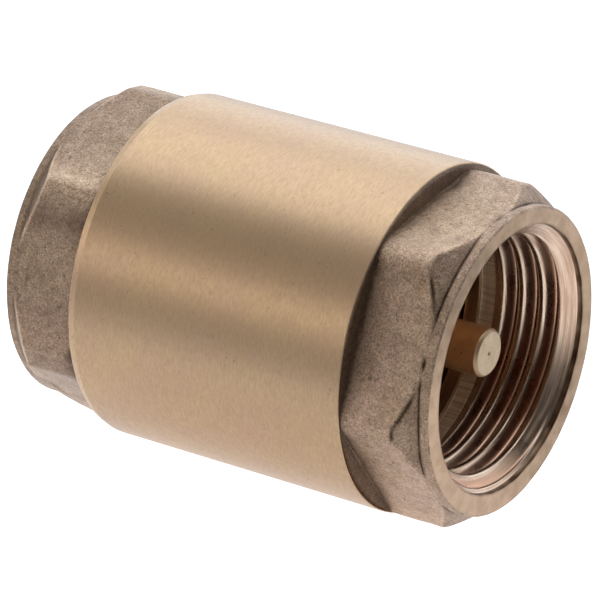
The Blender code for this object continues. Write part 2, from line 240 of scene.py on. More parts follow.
def wobble(points, size, seed):
    """Smooth noise from -1 to 1 at each point, with features about size across."""
    shift = Vector((17.3, 5.1, 11.7)) * seed
    values = [noise.noise(Vector(p) / size + shift) for p in points.reshape(-1, 3)]
    return np.array(values).reshape(points.shape[:-1])


def wobble_round(angle, turn, size, seed):
    """Smooth noise round the axis; turn makes one end's noise differ from the other's."""
    around = np.stack([np.cos(angle), np.sin(angle), np.full_like(angle, turn)], -1)
    return wobble(around, size, seed)


def mesh_object(name, place, faces, materials):
    mesh = bpy.data.meshes.new(name)
    mesh.from_pydata(place.reshape(-1, 3).tolist(), [], faces)
    for mat in materials:
        mesh.materials.append(mat)
    mesh.shade_smooth()
    obj = bpy.data.objects.new(name, mesh)
    bpy.context.scene.collection.objects.link(obj)
    return obj


def loft(rings, loop):
    """Faces between rings of points; a loop joins the last ring to the first."""
    count, steps = rings.shape[:2]
    index = np.arange(count * steps).reshape(count, steps)
    here = index if loop else index[:-1]
    there = np.roll(index, -1, axis=0) if loop else index[1:]
    quads = np.stack([here, np.roll(here, -1, axis=1), np.roll(there, -1, axis=1), there], -1)
    faces = quads.reshape(-1, 4).tolist()
    if not loop:
        faces += [index[0][::-1].tolist(), index[-1].tolist()]
    return faces


class Skin:
    """Rings of points round the X axis, which become one closed mesh.

    Each ring has a share of the casting's lumps, and a value that the paints read:
    above zero is dirt and painted shade, below zero is worn brass and painted highlight.
    """

    LUMPS = ((0.045 * MM, 2.6 * MM), (0.022 * MM, 0.8 * MM))    # (height, size)

    def __init__(self, steps=STEPS):
        self.angle = np.arange(steps) * TURN / steps
        self.x, self.r, self.grime, self.cast, self.finish = [], [], [], [], []

    def ring(self, x, r, finish=0, cast=0.0, grime=0.0):
        """One ring; finish is the material of the band from it to the next ring."""
        flat = np.zeros_like(self.angle)
        self.x.append(x + flat)
        self.r.append(r + flat)
        self.grime.append(grime + flat)
        self.cast.append(cast + flat)
        self.finish.append(finish)

    def outline(self, points, finish=0):
        for x, r in points:
            self.ring(x, r, finish)

    def points(self):
        x, r, cast = np.array(self.x), np.array(self.r), np.array(self.cast)
        around = np.broadcast_to(self.angle, x.shape)

        def place():
            return np.stack([x, r * np.cos(around), r * np.sin(around)], axis=-1)

        if cast.any():
            at = place()
            for seed, (height, size) in enumerate(self.LUMPS, 1):
                r = r + cast * height * wobble(at, size, seed)
        return place()

    def build(self, name, materials, loop=True):
        """The mesh object; without a loop both ends are capped."""
        place = self.points()
        obj = mesh_object(name, place, loft(place, loop), materials)
        bands = np.repeat(self.finish[:len(place) - (not loop)], len(self.angle)).tolist()
        if not loop:
            bands += [self.finish[0], self.finish[-1]]
        obj.data.polygons.foreach_set("material_index", bands)
        # Darkening for dirt and painted shade, lightening for worn brass and painted highlight.
        grime = obj.data.attributes.new("grime", "FLOAT", "POINT")
        grime.data.foreach_set("value", np.array(self.grime).ravel().astype(np.float32))
        obj.data.update()
        return obj


def place_piece(obj, body, slot, *nodes):
    """The piece moves with its body and stands for its CAD nodes."""
    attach(obj, body)
    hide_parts(*nodes)


# ------------------------------------------------------------------- materials

class Paint:
    """A material's nodes, made by short calls."""

    def __init__(self, name):
        self.mat = bpy.data.materials.new(name)
        self.mat.use_nodes = True
        self.tree = self.mat.node_tree
        self.shader = self.tree.nodes["Principled BSDF"]
        self.where = self.node("ShaderNodeTexCoord").outputs["Object"]

    def node(self, kind, **settings):
        made = self.tree.nodes.new(kind)
        for key, value in settings.items():
            setattr(made, key, value)
        return made

    def put(self, socket, value):
        if isinstance(value, bpy.types.NodeSocket):
            self.tree.links.new(value, socket)
        else:
            socket.default_value = value

    def stretched(self, x, y, z):
        mapping = self.node("ShaderNodeMapping")
        self.put(mapping.inputs["Vector"], self.where)
        mapping.inputs["Scale"].default_value = (x, y, z)
        return mapping.outputs["Vector"]

    def noise(self, size, detail=2.0, rough=0.5):
        """Noise whose features are about size across; a size may be one for each axis."""
        made = self.node("ShaderNodeTexNoise")
        if isinstance(size, tuple):
            self.put(made.inputs["Vector"], self.stretched(*(1 / s for s in size)))
            size = 1
        else:
            self.put(made.inputs["Vector"], self.where)
        made.inputs["Scale"].default_value = 1 / size
        made.inputs["Detail"].default_value = detail
        made.inputs["Roughness"].default_value = rough
        return made.outputs["Fac"]

    def ramp(self, value, low, high, to_low=0.0, to_high=1.0):
        made = self.node("ShaderNodeMapRange", interpolation_type="SMOOTHSTEP")
        self.put(made.inputs["Value"], value)
        made.inputs["From Min"].default_value = low
        made.inputs["From Max"].default_value = high
        made.inputs["To Min"].default_value = to_low
        made.inputs["To Max"].default_value = to_high
        return made.outputs["Result"]

    def mix(self, share, a, b):
        made = self.node("ShaderNodeMix", data_type="RGBA")
        self.put(made.inputs["Factor"], share)
        for socket, value in ((made.inputs[6], a), (made.inputs[7], b)):
            self.put(socket, value if isinstance(value, bpy.types.NodeSocket) else (*value, 1))
        return made.outputs[2]

    def math(self, operation, a, b=0.0):
        made = self.node("ShaderNodeMath", operation=operation)
        self.put(made.inputs[0], a)
        self.put(made.inputs[1], b)
        return made.outputs[0]

    def product(self, a, b):
        return self.math("MULTIPLY", a, b)

    def attribute(self, name):
        return self.node("ShaderNodeAttribute", attribute_name=name).outputs["Fac"]

    def relief(self, height, depth, strength=1.0, under=None):
        made = self.node("ShaderNodeBump")
        self.put(made.inputs["Height"], height)
        made.inputs["Distance"].default_value = depth
        made.inputs["Strength"].default_value = strength
        if under is not None:
            self.put(made.inputs["Normal"], under)
        return made.outputs["Normal"]

    def done(self, colour, roughness, normal, metallic=1.0, spread=0.0):
        """Spread draws reflections out across turning marks that run round the X axis."""
        if spread:
            self.shader.inputs["Anisotropic"].default_value = spread
            self.shader.inputs["Anisotropic Rotation"].default_value = SPREAD_TURN
            around = self.node("ShaderNodeTangent", direction_type="RADIAL", axis="X")
            self.put(self.shader.inputs["Tangent"], around.outputs["Tangent"])
        self.put(self.shader.inputs["Base Color"], colour)
        self.put(self.shader.inputs["Roughness"], roughness)
        self.put(self.shader.inputs["Metallic"], metallic)
        if normal is not None:
            self.put(self.shader.inputs["Normal"], normal)
        return self.mat


def cast_brass():
    """Sand-cast brass: grainy, tan to brown, pitted, with painted shade in its creases and painted
    highlights on worn corners.
    """
    p = Paint("cast_brass")
    grain = p.noise(0.15 * MM, 3.0, 0.7)
    clots = p.noise(0.55 * MM, 4.0, 0.7)
    mottle = p.noise(1.6 * MM, 3.0, 0.6)
    patch = p.noise(5.5 * MM, 2.0, 0.5)
    pits = p.ramp(p.noise(0.42 * MM, 2.0, 0.6), 0.63, 0.70)
    rust = p.ramp(p.noise(3.1 * MM, 3.0, 0.6), 0.56, 0.72, 0.0, 0.35)
    tan = p.mix(p.ramp(patch, 0.40, 0.62), (0.640, 0.455, 0.308), (0.610, 0.420, 0.300))
    colour = p.mix(p.ramp(mottle, 0.35, 0.68, 0.0, 0.34), tan, (0.37, 0.245, 0.160))
    colour = p.mix(rust, colour, (0.40, 0.235, 0.120))
    colour = p.mix(p.ramp(clots, 0.38, 0.66, 0.0, 0.42), colour, (0.250, 0.160, 0.105))
    colour = p.mix(p.ramp(grain, 0.36, 0.65, 0.0, 0.62), colour, (0.150, 0.098, 0.066))
    colour = p.mix(p.product(pits, 0.5), colour, (0.08, 0.05, 0.03))
    shade = p.attribute("grime")
    # Above zero it is darker: dirt, and painted shade in creases and corners.
    colour = p.mix(p.math("MAXIMUM", shade), colour, (0.045, 0.025, 0.014))
    # Below zero it is lighter: worn brass, and painted highlights on corners and chamfer edges.
    worn = p.product(shade, -1.0)
    colour = p.mix(p.math("MAXIMUM", worn), colour, (0.72, 0.53, 0.37))
    roughness = p.ramp(mottle, 0.3, 0.7, 0.44, 0.52)
    rough_skin = p.relief(clots, 0.12 * MM, 0.6)
    return p.done(colour, roughness, p.relief(grain, 0.09 * MM, 0.8, rough_skin))


def turned_brass():
    """The barrel: satin turned brass with faint rings and small pits."""
    p = Paint("turned_brass")
    rings = p.noise((0.10 * MM, 6 * MM, 6 * MM), 3.0, 0.6)
    bloom = p.noise(4 * MM, 4.0, 0.65)
    satin = p.noise((0.17 * MM, 0.6 * MM, 0.6 * MM), 4.0, 0.75)
    pits = p.ramp(p.noise(0.20 * MM, 1.0, 0.5), 0.66, 0.76)
    sparse = p.ramp(p.noise(1.5 * MM, 1.0, 0.5), 0.45, 0.62)
    colour = p.mix(p.ramp(bloom, 0.36, 0.66), (0.478, 0.325, 0.188), (0.468, 0.308, 0.192))
    colour = p.mix(p.ramp(rings, 0.3, 0.75, 0.0, 0.08), colour, (0.35, 0.23, 0.13))
    colour = p.mix(p.ramp(satin, 0.36, 0.64, 0.0, 0.40), colour, (0.33, 0.21, 0.12))
    pitted = p.product(p.product(pits, sparse), 0.55)
    colour = p.mix(pitted, colour, (0.17, 0.10, 0.05))
    roughness = p.ramp(satin, 0.3, 0.7, 0.33, 0.40)
    under = p.relief(rings, 0.01 * MM, 0.35)
    return p.done(colour, roughness, p.relief(satin, 0.012 * MM, 0.4, under))


def faced_brass():
    """The machined end faces."""
    p = Paint("faced_brass")
    haze = p.noise(1.2 * MM, 4.0, 0.6)
    speck = p.ramp(p.noise(0.26 * MM, 2.0, 0.5), 0.66, 0.74)
    colour = p.mix(p.ramp(haze, 0.35, 0.7), (0.395, 0.262, 0.165), (0.33, 0.215, 0.13))
    colour = p.mix(p.product(speck, 0.7), colour, (0.16, 0.09, 0.045))
    # Painted shadow line along the mouth's inner edge.
    colour = p.mix(p.attribute("grime"), colour, (0.060, 0.024, 0.011))
    roughness = p.ramp(haze, 0.3, 0.7, 0.34, 0.44)
    return p.done(colour, roughness, p.relief(haze, 0.015 * MM, 0.5), spread=0.85)


def threaded_brass():
    """Inside the sockets: bright cut crests, fine tool lines, and red-brown painted shade in the
    roots.
    """
    p = Paint("threaded_brass")
    lines = p.noise((0.13 * MM, 7 * MM, 7 * MM), 3.0, 0.65)
    haze = p.noise(2.5 * MM, 3.0, 0.6)
    colour = p.mix(p.ramp(lines, 0.36, 0.62), (0.60, 0.455, 0.345), (0.34, 0.23, 0.155))
    colour = p.mix(p.ramp(haze, 0.45, 0.75, 0.0, 0.2), colour, (0.40, 0.27, 0.18))
    # Painted shade: roots darker and redder, as light bounced between the flanks would make them.
    colour = p.mix(p.attribute("grime"), colour, (0.46, 0.25, 0.155))
    roughness = p.ramp(haze, 0.3, 0.7, 0.24, 0.34)
    return p.done(colour, roughness, p.relief(lines, 0.02 * MM, 0.7))


def chattered_brass():
    """The relief behind a thread, where the tool has left marks along the axis, painted pale as a
    highlight.
    """
    p = Paint("chattered_brass")
    marks = p.noise((5 * MM, 0.24 * MM, 0.24 * MM), 2.0, 0.6)
    lines = p.noise((0.16 * MM, 5 * MM, 5 * MM), 2.0, 0.6)
    # Far paler than the other brass: painted highlight for the light that reaches the relief
    # through the mouth.
    colour = p.mix(p.ramp(marks, 0.3, 0.7), (0.95, 0.82, 0.62), (0.78, 0.60, 0.42))
    colour = p.mix(p.ramp(lines, 0.45, 0.75, 0.0, 0.4), colour, (0.55, 0.38, 0.24))
    normal = p.relief(lines, 0.08 * MM, 1.0, p.relief(marks, 0.05 * MM, 0.6))
    return p.done(colour, p.ramp(marks, 0.3, 0.7, 0.60, 0.75), normal)


def spindle_brass():
    """The spindle and the valve's inner turned pieces: golden, drawn and turned."""
    p = Paint("spindle_brass")
    rings = p.noise((0.08 * MM, 4 * MM, 4 * MM), 3.0, 0.6)
    haze = p.noise(1.5 * MM, 3.0, 0.6)
    speck = p.ramp(p.noise(0.25 * MM, 1.0, 0.5), 0.70, 0.78)
    colour = p.mix(p.ramp(haze, 0.3, 0.7), (0.84, 0.52, 0.26), (0.76, 0.44, 0.20))
    colour = p.mix(p.product(speck, 0.6), colour, (0.16, 0.08, 0.03))
    return p.done(colour, p.ramp(rings, 0.3, 0.7, 0.30, 0.40), p.relief(rings, 0.005 * MM, 0.4))


def sawn_brass():
    """The spindle's end: pale and matt from being cut off."""
    p = Paint("sawn_brass")
    haze = p.noise(0.7 * MM, 3.0, 0.6)
    speck = p.ramp(p.noise(0.22 * MM, 2.0, 0.6), 0.62, 0.72)
    colour = p.mix(p.ramp(haze, 0.3, 0.7), (0.50, 0.375, 0.240), (0.43, 0.31, 0.19))
    colour = p.mix(p.product(speck, 0.6), colour, (0.30, 0.19, 0.11))
    colour = p.mix(p.attribute("grime"), colour, (0.24, 0.12, 0.05))
    return p.done(colour, 0.5, p.relief(haze, 0.03 * MM, 0.6), metallic=0.75)


def stainless_steel():
    p = Paint("stainless_steel")
    drawn = p.noise(0.12 * MM, 3.0, 0.6)
    haze = p.noise(1.4 * MM, 2.0, 0.5)
    colour = p.mix(p.ramp(haze, 0.3, 0.7), (0.62, 0.61, 0.60), (0.48, 0.47, 0.46))
    return p.done(colour, p.ramp(drawn, 0.3, 0.7, 0.22, 0.36), p.relief(drawn, 0.01 * MM, 0.5))


def nitrile_rubber():
    p = Paint("nitrile_rubber")
    grain = p.noise(0.2 * MM, 3.0, 0.6)
    bloom = p.noise(2.2 * MM, 3.0, 0.6)
    colour = p.mix(p.ramp(bloom, 0.35, 0.7), (0.018, 0.018, 0.019), (0.040, 0.039, 0.038))
    roughness = p.ramp(bloom, 0.3, 0.7, 0.55, 0.75)
    return p.done(colour, roughness, p.relief(grain, 0.02 * MM, 0.5), metallic=0.0)


# ----------------------------------------------------- hexagon, collar and socket

def hexagon_radius(angle, turn, flat_r, corner_round):
    """From the axis to a hexagon's side at each angle, its corners rounded."""
    from_flat = np.abs((angle - turn) % SIXTH - SIXTH / 2)
    from_corner = SIXTH / 2 - from_flat
    centre = (flat_r - corner_round) / math.cos(SIXTH / 2)
    inside = np.maximum(corner_round ** 2 - (centre * np.sin(from_corner)) ** 2, 0)
    corner = centre * np.cos(from_corner) + np.sqrt(inside)
    on_flat = flat_r * np.tan(from_flat) <= (flat_r - corner_round) * math.tan(SIXTH / 2)
    return np.where(on_flat, flat_r / np.cos(from_flat), corner)


def thread_radius(x, angle):
    """The pipe thread's surface, with rounded roots and crests."""
    root_x = THREAD_END_X + PITCH * (angle - THREAD_START) / TURN
    off_root = np.abs((x - root_x + PITCH / 2) % PITCH - PITCH / 2)
    flank_r = MAJOR_R - (off_root - ROOT_HALF) / math.tan(FLANK)
    rounded_root = smooth_min(flank_r, np.full_like(flank_r, MAJOR_R), ROOT_ROUND)
    return smooth_max(rounded_root, CREST_R, CREST_ROUND)


def in_radians(marks):
    return [(math.radians(at), math.radians(half), amount) for at, half, amount in marks]


class CastEnd:
    """One cast end: how its hexagon is turned, and where the casting is uneven.

    turn, limit: the first corner's angle and the largest radius, in degrees and mm.
    shift, shift_angle: how far off the bore's axis the casting sits, and which way.
    worn, scars, nicks, chips, stains: marks of (angle, half width, amount), angles in
    degrees.  Worn corners lose that many mm; scars cut the edge of the chamfers, nicks
    the foot of the collar, chips the foot of the shoulder.  Stains darken the flats,
    or take away some of their darkening where the amount is below zero.
    chamfer_grime, tarnish: how much darker the chamfers are, and the whole end.
    edge_wear_and_highlight, corner_wear, wear_and_highlight_lean: worn brass and painted highlight
    on the chamfers' edges and on the corners, and how far round from the corner it sits.
    crease: how deep the fold between chamfer and collar is and how dark its painted shade
    is, 1 being full depth.
    """

    def __init__(self, turn, limit, shift, shift_angle, worn=(), scars=(), nicks=(),
                 chips=(), stains=(), chamfer_grime=0.0, edge_wear_and_highlight=0.0, corner_wear=0.0,
                 wear_and_highlight_lean=0.0, tarnish=0.0, crease=1.0):
        self.turn, self.limit = math.radians(turn), limit * MM
        self.shift, self.shift_angle = shift * MM, math.radians(shift_angle)
        self.worn = [(at, half, depth * MM) for at, half, depth in in_radians(worn)]
        self.scars, self.nicks = in_radians(scars), in_radians(nicks)
        self.chips, self.stains = in_radians(chips), in_radians(stains)
        self.chamfer_grime, self.edge_wear_and_highlight = chamfer_grime, edge_wear_and_highlight
        self.corner_wear, self.wear_and_highlight_lean = corner_wear, math.radians(wear_and_highlight_lean)
        self.tarnish, self.crease = tarnish, crease

    def off_centre(self, angle):
        return self.shift * np.cos(angle - self.shift_angle)

    def marks(self, angle, marks):
        return sum((depth * bump(angle_from(angle, at), half) for at, half, depth in marks),
                   np.zeros_like(angle))

    def hexagon(self, angle):
        sharp = hexagon_radius(angle, self.turn, FLAT_R, HEX_CORNER_ROUND)
        return smooth_min(sharp, self.limit - self.marks(angle, self.worn), HEX_BLEND)


def add_hexagon(skin, start_x, shoulder_r, end):
    """A shoulder, the hexagon, its chamfer cone and the collar, towards +X."""
    angle = skin.angle
    off = end.off_centre(angle)
    hexagon = end.hexagon(angle) + off
    collar_r = COLLAR_R + off
    collar_x = FACE_X - COLLAR_LENGTH
    corner_share = np.clip((hexagon - collar_r) / (0.3 * MM), 0, 1)
    shift = 0.10 * MM * wobble_round(angle, end.turn, 0.35, 3)
    ragged = 0.5 + 0.5 * wobble_round(angle, end.turn, 0.06, 4)
    # The shoulder's face is darkened: painted shade.
    for share in (0.0, 0.3, 0.6, 0.9, 1.0):
        skin.ring(start_x, shoulder_r + (hexagon - shoulder_r) * share, CAST, 0.0, SHOULDER_SHADE)
    # A dark fold at the hexagon's foot: painted shade.
    skin.ring(start_x + JUNCTION, hexagon - JUNCTION, CAST, 0.3, 0.85)
    # Marks round each corner, a little off it, for worn brass and a painted highlight.
    corners = [(end.turn + k * SIXTH - end.wear_and_highlight_lean, WEAR_AND_HIGHLIGHT_HALF, 1.0) for k in range(6)]
    worn = end.marks(angle, corners)
    scar = end.marks(angle, end.scars)
    nick = end.marks(angle, end.nicks)
    stain = end.marks(angle, end.stains)
    chip = end.marks(angle, end.chips)
    plain = np.linspace(start_x + 3 * JUNCTION, FACE_X - FLATS_END, 18)
    chamfered = np.linspace(FACE_X - CHAMFER_REACH, collar_x - 0.25 * MM, 26)
    creased = np.linspace(collar_x - 0.20 * MM, collar_x + 0.20 * MM, 13)
    for x in [*plain, *chamfered, *creased]:
        moved = shift * bump(x - collar_x, 0.5 * MM)
        cone = collar_r + CHAMFER_SLOPE * max(collar_x - x, 0)
        r = smooth_min(hexagon, cone, CHAMFER_BLEND)
        if x > collar_x - MM:
            r = smooth_max(r, np.minimum(collar_r, cone), MACHINED_ROUND)
        crease = end.crease * bump(x - collar_x, 0.06 * MM) * (0.5 + 0.5 * ragged)
        crease = crease * (0.25 + 0.75 * corner_share)
        crack = np.minimum(scar * bump(hexagon - cone, 0.14 * MM) * (0.6 + ragged), 1.3)
        pit = nick * bump(x - collar_x, 0.16 * MM) * (0.4 + ragged)
        beside = np.exp(-(x - start_x) / (0.45 * MM))
        r = r - 0.08 * MM * crease - 0.17 * MM * crack - 0.15 * MM * pit - 0.2 * MM * chip * beside
        # Painted shade on the flats beside the shoulder, stronger at the chips.
        near_shoulder = (JUNCTION_SHADE + 0.5 * chip) * beside * (0.7 + 0.3 * ragged)
        on_chamfer = np.clip((hexagon - cone) / (0.15 * MM), 0, 1)
        edge = end.edge_wear_and_highlight * bump(hexagon - cone, 0.13 * MM) * corner_share
        near_collar = 0.22 * bump(x - collar_x, 0.5 * MM) * ragged * (1 - corner_share * 0.5)
        # The fold between chamfer and collar is darkened as well as dented: painted shade.
        shade = near_collar + near_shoulder + 0.85 * crease + 1.1 * crack + 0.8 * pit
        shade = shade + end.chamfer_grime * on_chamfer + end.tarnish
        shade = shade + stain * (1 - on_chamfer) * (0.6 + 0.4 * ragged)
        # Corners and chamfer edges lightened: worn brass, and painted highlights where they catch
        # the overhead lamp.
        wear = end.corner_wear * worn * (1 - on_chamfer) * (0.4 + 0.6 * ragged) + edge
        grime = np.clip(shade, 0, 0.95) - np.where(shade < 0.6, wear, 0)
        skin.ring(x + moved, r, CAST, 1.0, grime)


def add_socket(skin, end):
    """The rim, face, countersink, thread and relief, from the rim inwards."""
    angle = skin.angle
    off = end.off_centre(angle)
    collar = rounded([
        (FACE_X - COLLAR_LENGTH + 0.25 * MM, COLLAR_R, 0),
        (FACE_X - RIM_EDGE, COLLAR_R, 0.08 * MM),
        (FACE_X, COLLAR_R - RIM_EDGE, 0.06 * MM),
        (FACE_X, COLLAR_R - 2 * RIM_EDGE, 0),
    ])
    for x, r in collar[:-2]:
        skin.ring(x, r + off, CAST, 0.7, end.tarnish + 0.5 * end.chamfer_grime)
    for x, r in collar[-2:]:
        skin.ring(x, r + off, FACED)
    skin.ring(FACE_X, FACE_INNER_R, FACED)
    torn = np.clip(0.5 + wobble_round(angle, end.turn, 0.11, 6), 0, 1)
    lip = rounded([
        (FACE_X, MOUTH_R + 0.2 * MM, 0),
        (FACE_X, MOUTH_R, MACHINED_ROUND),
        (FACE_X - MOUTH_STEP, MOUTH_R - 0.02 * MM, 0),
    ])
    # The face's inner edge and the mouth's first rings are darkened, raggedly: a painted shadow
    # line.
    for number, (x, r) in enumerate(lip):
        inner = number / (len(lip) - 1)
        grime = 0.95 * inner ** 0.4 * (0.45 + 0.55 * torn)
        skin.ring(x, r + 0.05 * MM * torn * inner, FACED, 0.0, grime)
    # Painted shadow line, carried on into the countersink.
    skin.ring(FACE_X - MOUTH_STEP - 0.02 * MM, MOUTH_R - 0.04 * MM, THREADED, 0.0, 0.3)
    thread_x = FACE_X - THREAD_DEPTH
    ease = RELIEF_R - CREST_R
    first_x, last_x = FACE_X - MOUTH_STEP - 0.05 * MM, RELIEF_X + 0.15 * MM
    for x in np.linspace(first_x, last_x, SOCKET_RINGS):
        mouth = MOUTH_R - MOUTH_SLOPE * (FACE_X - MOUTH_STEP - x)
        run_out = CREST_R + ease * np.clip((thread_x + ease - x) / ease, 0, 1)
        open_r = max(mouth, CREST_R - MM)
        thread = thread_radius(x, angle) if x > THREAD_END_X else np.full_like(angle, CREST_R)
        r = smooth_max(smooth_max(thread, open_r, MACHINED_ROUND), run_out, MACHINED_ROUND)
        # Painted shade: thread roots darker and redder, the countersink a little darker.
        in_root = np.clip((r - max(open_r, CREST_R) - 0.12 * MM) / (0.40 * MM), 0, 1)
        root_shade = ROOT_SHADE * in_root * (x > thread_x) + 0.18 * (mouth > CREST_R)
        finish = CHATTERED if x < thread_x else THREADED
        skin.ring(x, np.minimum(r, RELIEF_R), finish, 0.0, root_shade)


# ---------------------------------------------------------------- the pieces

def make_body(paints):
    skin = Skin()
    outer = rounded([
        (BARREL_INLET_X, JOINT_BORE_R + 0.15 * MM, 0),
        (BARREL_INLET_X, BARREL_R - BARREL_CHAMFER_DROP, MACHINED_ROUND),
        (BARREL_INLET_X + BARREL_CHAMFER, BARREL_R, MACHINED_ROUND),
        (BARREL_OUTLET_X, BARREL_R, SHOULDER_EDGE),
        (BARREL_OUTLET_X, BARREL_R - 3 * SHOULDER_EDGE, 0),
    ])
    skin.outline(outer[:-2], TURNED)
    add_hexagon(skin, BARREL_OUTLET_X, outer[-3][1], OUTLET_END)
    add_socket(skin, OUTLET_END)
    inside = rounded([
        (RELIEF_X, RELIEF_R, MACHINED_ROUND),
        (RELIEF_X, STOP_R, MACHINED_ROUND),
        (STOP_X, STOP_R, MACHINED_ROUND),
        (STOP_X, CHAMBER_R, MACHINED_ROUND),
        (JOINT_X, CHAMBER_R, SOFT_ROUND),
        (JOINT_X, JOINT_BORE_R, SOFT_ROUND),
        (BARREL_INLET_X + 0.15 * MM, JOINT_BORE_R, 0),
    ])
    skin.outline(inside, TURNED)
    obj = skin.build("body_shell", paints)
    place_piece(obj, "housing", "brass_cast", "valve_body")


def make_connector(paints):
    """Drawn with its mouth towards +X like the body, then faced about."""
    skin = Skin()
    start_x = -BARREL_INLET_X + TOUCH
    neck_end_x = -JOINT_X + GAP
    groove_near, groove_far = -O_RING_X + GROOVE_HALF, -O_RING_X - GROOVE_HALF
    skin.ring(start_x, NECK_R, CAST)
    add_hexagon(skin, start_x, NECK_R + TOUCH, INLET_END)
    add_socket(skin, INLET_END)
    inside = rounded([
        (RELIEF_X, RELIEF_R, MACHINED_ROUND),
        (RELIEF_X - THROAT_LEAD, THROAT_R, SOFT_ROUND),
        (-SEAT_X, THROAT_R, SOFT_ROUND),
        (-SEAT_X, SEAT_LIP_R, 0.15 * MM),
        (neck_end_x, SEAT_LIP_R + SEAT_LIP_SLOPE, SOFT_ROUND),
        (neck_end_x, NECK_R, 0.15 * MM),
        (groove_far, NECK_R, MACHINED_ROUND),
        (groove_far, GROOVE_R, SOFT_ROUND),
        (groove_near, GROOVE_R, SOFT_ROUND),
        (groove_near, NECK_R, MACHINED_ROUND),
        (start_x - 0.1 * MM, NECK_R, 0),
    ])
    skin.outline(inside, TURNED)
    obj = skin.build("connector_shell", paints)
    obj.data.transform(Matrix.Rotation(math.pi, 4, "Z"))
    place_piece(obj, "housing", "brass_cast", "inlet_connector")


def ring_piece(name, corners, paint, steps=SMALL_STEPS):
    """A turned ring from its corners."""
    skin = Skin(steps)
    skin.outline(rounded(corners))
    return skin.build(name, [paint])


def make_o_ring(rubber):
    skin = Skin()
    for step in range(WIRE_STEPS * 2):
        t = step / (WIRE_STEPS * 2) * TURN
        skin.ring(O_RING_X - O_RING_WIRE_R * math.cos(t), O_RING_R + O_RING_WIRE_R * math.sin(t))
    obj = skin.build("o_ring_shell", [rubber])
    place_piece(obj, "housing", "nitrile_rubber", "joint_o_ring")


def make_spindle(golden, sawn):
    """Screwed inlet end, collar, and the long drawn rod with its sawn-off end."""
    skin = Skin(SMALL_STEPS)
    screw_x, tip_x = STEM_LOW.x, STEM_HIGH.x
    collar_out_x = STEM_COLLAR_X + STEM_COLLAR_LENGTH
    skin.ring(screw_x, 0.1 * MM)
    for x in np.linspace(screw_x, STEM_COLLAR_X - 0.3 * MM, SCREW_RINGS):
        groove = 0.5 - 0.5 * np.cos(TURN * (x - screw_x) / SCREW_PITCH - skin.angle)
        lead = SCREW_R - max(STEM_EDGE - (x - screw_x), 0)
        skin.ring(x, lead - SCREW_DEPTH * groove)
    rod = rounded([
        (STEM_COLLAR_X - 0.1 * MM, SCREW_R, 0),
        (STEM_COLLAR_X, SCREW_R, MACHINED_ROUND),
        (STEM_COLLAR_X, STEM_COLLAR_R, SOFT_ROUND),
        (collar_out_x, STEM_COLLAR_R, SOFT_ROUND),
        (collar_out_x, STEM_R, SOFT_ROUND),
        (tip_x - STEM_EDGE, STEM_R, 0.20 * MM),
        (tip_x, STEM_R - 0.8 * STEM_EDGE, 0.12 * MM),
        (tip_x, STEM_R - 2 * STEM_EDGE, 0),
    ])
    for x, r in rod:
        sawn_off = x > tip_x - 0.9 * STEM_EDGE
        on_rim = sawn_off and x < tip_x
        skin.ring(x, r, int(sawn_off), 0.0, 0.45 if on_rim else 0.0)
    dent = 0.02 * MM * wobble_round(skin.angle, 0.0, 0.6, 8)
    for r in np.linspace(STEM_R - 2.5 * STEM_EDGE, PIP_R, 8):
        skin.ring(tip_x + np.minimum(dent, 0) * r / STEM_R, r, 1)
    skin.ring(tip_x - PIP_DEPTH, PIP_R / 2, 1, 0.0, 0.9)
    skin.ring(tip_x - PIP_DEPTH, PIP_R / 8, 1, 0.0, 0.9)
    obj = skin.build("spindle_shell", [golden, sawn], loop=False)
    place_piece(obj, "poppet", "brass_turned", "stem")


def make_disc(golden):
    plate_x, rim_x = DISC_X - DISC_PLATE, DISC_LOW.x
    rim_r, rim_inner_r = DISC_HIGH.z, SEAL_HIGH.z + GAP
    obj = ring_piece("disc_shell", [
        (plate_x, BORE_R, 0),
        (plate_x, rim_inner_r, 0.08 * MM),
        (rim_x, rim_inner_r, 0.06 * MM),
        (rim_x, rim_r, SOFT_ROUND),
        (DISC_X - DISC_EDGE, rim_r, SOFT_ROUND),
        (DISC_X, rim_r - DISC_EDGE, SOFT_ROUND),
        (DISC_X, STEM_COLLAR_R + DISC_EDGE, 0.20 * MM),
        (DISC_HIGH.x, STEM_COLLAR_R, 0.08 * MM),
        (DISC_HIGH.x, BORE_R, 0),
    ], golden)
    place_piece(obj, "poppet", "brass_turned", "valve_disc")


def make_seal(rubber):
    obj = ring_piece("seal_shell", [
        (SEAL_LOW.x, BORE_R, 0),
        (SEAL_LOW.x, SEAL_HIGH.z, 0.20 * MM),
        (SEAL_HIGH.x, SEAL_HIGH.z, 0.15 * MM),
        (SEAL_HIGH.x, BORE_R, 0),
    ], rubber)
    place_piece(obj, "poppet", "nitrile_rubber", "disc_seal")


def make_washer(golden):
    half = (WASHER_HIGH.x - WASHER_LOW.x) / 2
    obj = ring_piece("washer_shell", [
        (WASHER_LOW.x, BORE_R, 0),
        (WASHER_LOW.x, WASHER_HIGH.z - half, 0.20 * MM),
        (WASHER_LOW.x + half, WASHER_HIGH.z, 0.15 * MM),
        (WASHER_HIGH.x, WASHER_HIGH.z, MACHINED_ROUND),
        (WASHER_HIGH.x, BORE_R, 0),
    ], golden)
    place_piece(obj, "poppet", "brass_turned", "seal_retainer")


def make_nut(steel):
    """A hexagon whose corners are turned off on both sides."""
    skin = Skin(SMALL_STEPS * 2)
    hexagon = hexagon_radius(skin.angle, SIXTH / 2, NUT_FLAT_R, NUT_CORNER_ROUND)
    skin.ring(NUT_LOW.x, BORE_R)
    for x in np.linspace(NUT_LOW.x, NUT_HIGH.x, 25):
        from_side = min(x - NUT_LOW.x, NUT_HIGH.x - x)
        cone = NUT_FLAT_R - 0.05 * MM + from_side * math.sqrt(3)
        skin.ring(x, smooth_min(hexagon, cone, 0.05 * MM))
    skin.ring(NUT_HIGH.x, BORE_R)
    obj = skin.build("nut_shell", [steel])
    place_piece(obj, "poppet", "stainless_steel", "retainer_nut")


